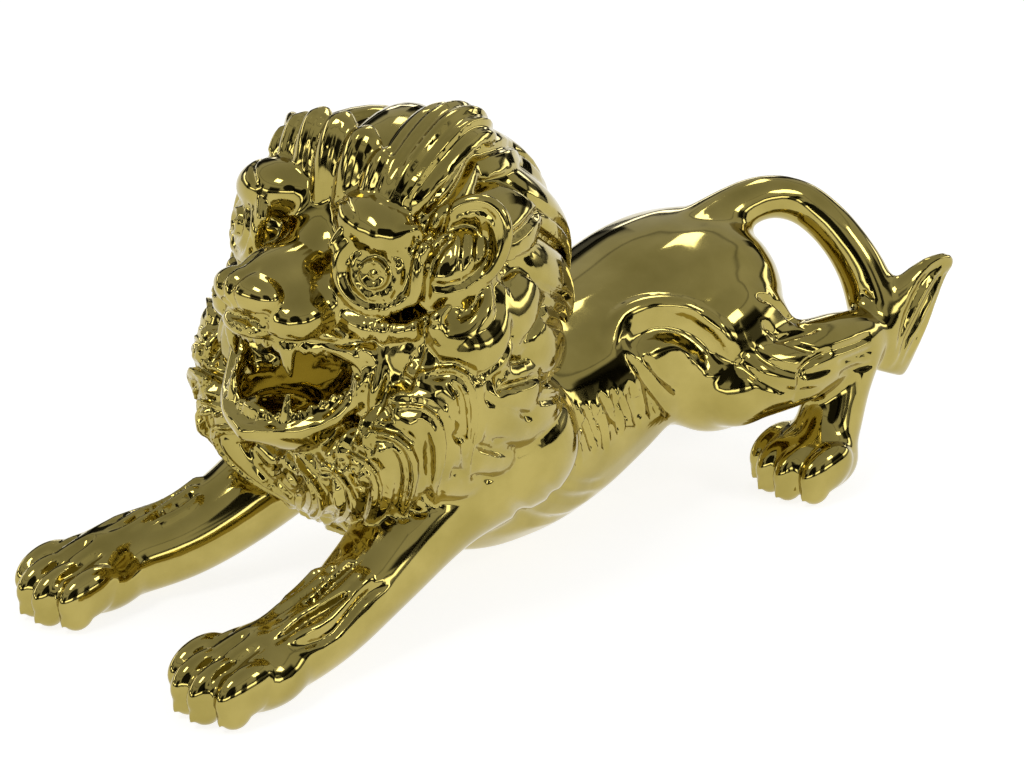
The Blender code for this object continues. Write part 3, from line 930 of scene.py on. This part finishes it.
# Brightness of the surroundings by the sine of the height above the horizon, and their strength.
SURROUNDINGS = ((0.0, 0.01), (0.1, 0.11), (0.13, 1.0), (0.19, 1.0), (0.22, 0.02), (0.27, 0.02), (0.31, 0.15),
                (0.6, 0.15), (0.62, 0.05), (0.64, 0.14), (1.0, 0.11))
STRENGTH = 3.5

# Upright panels that stand round the table: their number, how unevenly they are spread and how often that
# repeats, the dark gap between two as a range of the wave round them, and the sine of the height at which
# they end.
PANELS = 9
PANEL_UNEVENNESS = 2.0
PANEL_REPEATS = 3
PANEL_GAP = (0.05, 0.25)
PANEL_TOP = (0.4, 0.5)

# The dark camera and its stand: azimuth and elevation, the cosine of the angular radius and its soft edge.
STAND = (54, 28)
STAND_COSINE = 0.955
STAND_EDGE = 0.004

# What is left of the light in the gaps and at the stand.
DARK = 0.03


def ranged(nodes, links, value, low, high, start=0.0, end=1.0):
    """A node output that runs from start to end while the value runs from low to high."""
    node = nodes.new("ShaderNodeMapRange")
    for name, number in (("From Min", low), ("From Max", high), ("To Min", start), ("To Max", end)):
        node.inputs[name].default_value = number
    links.new(value, node.inputs["Value"])
    return node.outputs["Result"]


def computed(nodes, links, operation, *values):
    """The output of a math node on these values, each a number or another node's output."""
    node = nodes.new("ShaderNodeMath")
    node.operation = operation
    for socket, value in zip(node.inputs, values):
        if isinstance(value, (int, float)):
            socket.default_value = value
        else:
            links.new(value, socket)
    return node.outputs["Value"]


def height_tones(nodes, links, height):
    """The brightness of the surroundings at this height above the horizon, as a colour output."""
    ramp = nodes.new("ShaderNodeValToRGB")
    stops = ramp.color_ramp.elements
    stops[0].color, stops[1].color = grey(SURROUNDINGS[0][1]), grey(SURROUNDINGS[-1][1])
    for position, value in SURROUNDINGS[1:-1]:
        stops.new(position).color = grey(value)
    links.new(height, ramp.inputs["Fac"])
    return ramp.outputs["Color"]


def panel_light(nodes, links, x, y, height):
    """1 on the upright panels and above them, and dark in the gaps between them."""
    around = computed(nodes, links, "ARCTAN2", y, x)
    repeated = computed(nodes, links, "MULTIPLY", around, PANEL_REPEATS)
    swing = computed(nodes, links, "SINE", repeated)
    unevenness = computed(nodes, links, "MULTIPLY", swing, PANEL_UNEVENNESS)
    turns = computed(nodes, links, "MULTIPLY_ADD", around, PANELS, unevenness)
    wave = computed(nodes, links, "SINE", turns)
    panel = ranged(nodes, links, wave, PANEL_GAP[1], PANEL_GAP[0], DARK)
    above = ranged(nodes, links, height, *PANEL_TOP)
    return computed(nodes, links, "MAXIMUM", panel, above)


def stand_light(nodes, links, place):
    """1 all round, and dark where the camera and its stand are."""
    toward = nodes.new("ShaderNodeVectorMath")
    toward.operation = "DOT_PRODUCT"
    toward.inputs[1].default_value = direction(*STAND)
    links.new(place, toward.inputs[0])
    return ranged(nodes, links, toward.outputs["Value"], STAND_COSINE + STAND_EDGE, STAND_COSINE, DARK)


def studio():
    """Dim grey surroundings with a bright band above a dark horizon, and a few soft boxes."""
    scene = bpy.context.scene
    scene.view_settings.view_transform = "Standard"
    world = bpy.data.worlds.new("studio")
    scene.world = world
    world.use_nodes = True
    nodes, links = world.node_tree.nodes, world.node_tree.links
    place = nodes.new("ShaderNodeTexCoord").outputs["Generated"]
    split = nodes.new("ShaderNodeSeparateXYZ")
    links.new(place, split.inputs["Vector"])
    x, y, height = split.outputs
    light = computed(nodes, links, "MULTIPLY", stand_light(nodes, links, place),
                     panel_light(nodes, links, x, y, height))
    shaded = nodes.new("ShaderNodeVectorMath")
    shaded.operation = "SCALE"
    links.new(height_tones(nodes, links, height), shaded.inputs[0])
    links.new(light, shaded.inputs["Scale"])
    links.new(shaded.outputs["Vector"], nodes["Background"].inputs["Color"])
    nodes["Background"].inputs["Strength"].default_value = STRENGTH
    for box in SOFT_BOXES:
        soft_box(*box)


def camera():
    """The photo's camera."""
    lens = bpy.data.cameras.new("photo camera")
    lens.sensor_width = SENSOR_WIDTH
    lens.lens = PHOTO_FOCAL_WIDTHS * SENSOR_WIDTH
    viewer = bpy.data.objects.new("photo camera", lens)
    away = direction(PHOTO_AZIMUTH, PHOTO_ELEVATION)
    viewer.location = (Vector(PHOTO_TARGET) + away * PHOTO_DISTANCE) * PART
    viewer.rotation_euler = away.to_track_quat("Z", "Y").to_euler()
    bpy.context.scene.collection.objects.link(viewer)
    bpy.context.scene.camera = viewer


casting = lion()
casting.data.materials.clear()
casting.data.materials.append(gold())
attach(casting, "root")
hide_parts("lion")
floor()
studio()
camera()
